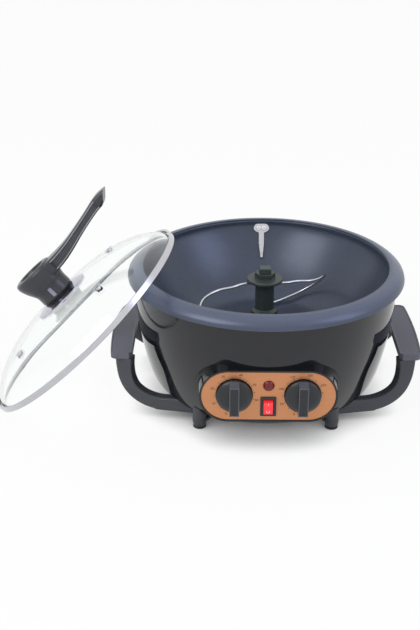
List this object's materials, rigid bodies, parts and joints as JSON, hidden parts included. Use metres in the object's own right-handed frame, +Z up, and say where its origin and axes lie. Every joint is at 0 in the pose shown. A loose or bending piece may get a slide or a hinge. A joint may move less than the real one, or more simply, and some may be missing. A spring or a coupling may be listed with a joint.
{
  "type": "home coffee bean roaster",
  "caption": "Wok-shaped tabletop roaster with a gloss black shell, wire stirrer, copper-coloured control panel, carrying handles and a loose glass lid leaning on its left side.",
  "frame": {"origin": "on the stirrer's axis at the flat underside of the base cover, 16 mm above the counter", "axes": "+Z up along the stirrer's axis, the control panel faces -Y, the lid leans on the -X side"},
  "size_m": [0.4463, 0.296, 0.2338],
  "materials": {
    "gloss_black": "high gloss black moulded shell",
    "satin_black": "satin black moulded phenolic",
    "grip_grey": "fine matte dark grey",
    "knob_black": "satin black moulded plastic",
    "non_stick": "slate grey non-stick coating on cast aluminium",
    "copper_plate": "brushed copper-coloured plate",
    "steel": "satin stainless steel",
    "zinc_steel": "zinc-plated steel",
    "aluminium": "mill-finish sheet",
    "brass": "turned",
    "rubber": "moulded black rubber",
    "hub_green": "matte dark green-grey moulded hub",
    "pale_grey": "pale lilac grey, satin",
    "white_resin": "off-white electrical moulding",
    "silicone": "translucent silicone washer",
    "lamp_red": "dark red translucent lens",
    "rocker_red": "glossy red rocker",
    "glass": "clear tempered glass"
  },
  "bodies": {
    "housing": {"outer_shell": "gloss_black", "base_cover": "satin_black", "foot_front_left": "satin_black", "foot_pad_front_left": "rubber", "foot_screw_front_left": "zinc_steel", "arm_front_left": "satin_black", "foot_front_right": "satin_black", "foot_pad_front_right": "rubber", "foot_screw_front_right": "zinc_steel", "arm_front_right": "satin_black", "foot_rear_left": "satin_black", "foot_pad_rear_left": "rubber", "foot_screw_rear_left": "zinc_steel", "arm_rear_left": "satin_black", "foot_rear_right": "satin_black", "foot_pad_rear_right": "rubber", "foot_screw_rear_right": "zinc_steel", "arm_rear_right": "satin_black", "grip_left": "grip_grey", "grip_right": "grip_grey", "roasting_pan": "non_stick", "bean_baffle": "steel", "baffle_rivet_left": "steel", "baffle_rivet_right": "steel", "gear_motor": "zinc_steel", "motor_bracket": "zinc_steel", "shaft_bush": "brass", "heating_ring": "zinc_steel", "heat_shield": "aluminium", "heat_limiter": "white_resin", "panel_plate": "copper_plate", "timer_body": "white_resin", "thermostat_body": "white_resin", "lamp_lens": "lamp_red", "lamp_body": "white_resin", "switch_body": "knob_black", "terminal_block": "white_resin", "cord_gland": "rubber"},
    "stirrer": {"motor_spindle": "steel", "shaft_coupling": "zinc_steel", "drive_shaft": "steel", "stirrer_hub": "hub_green", "stirrer_wire": "steel", "hub_cap": "hub_green"},
    "timer_control": {"timer_knob": "knob_black", "timer_spindle": "zinc_steel"},
    "temperature_control": {"temperature_knob": "knob_black", "thermostat_spindle": "zinc_steel"},
    "rocker": {"switch_rocker": "rocker_red"},
    "lid": {"lid_glass": "glass", "lid_ring": "steel", "lid_vent_upper": "steel", "lid_vent_lower": "steel", "handle_flange": "steel", "handle_neck": "knob_black", "lid_handle": "satin_black", "handle_inset_front": "pale_grey", "handle_inset_back": "pale_grey", "handle_screw": "steel", "handle_washer": "silicone"}
  },
  "joints": [
    {"name": "stirrer_spin", "type": "hinge", "parent": "housing", "child": "stirrer", "pos_m": [0, 0, 0.06], "axis": [0, 0, 1], "continuous": true},
    {"name": "timer_knob_turn", "type": "hinge", "parent": "housing", "child": "timer_control", "pos_m": [-0.033, -0.1373, 0.0468], "axis": [0, 1, 0], "range_deg": [0, 300]},
    {"name": "temperature_knob_turn", "type": "hinge", "parent": "housing", "child": "temperature_control", "pos_m": [0.033, -0.1373, 0.0468], "axis": [0, 1, 0], "range_deg": [0, 300]},
    {"name": "switch_rock", "type": "hinge", "parent": "housing", "child": "rocker", "pos_m": [0, -0.1339, 0.0345], "axis": [-1, 0, 0], "range_deg": [0, 20]},
    {"name": "lid_lift", "type": "slide", "parent": "housing", "child": "lid", "axis": [0, 0, 1], "range_m": [0, 0.16]}
  ]
}
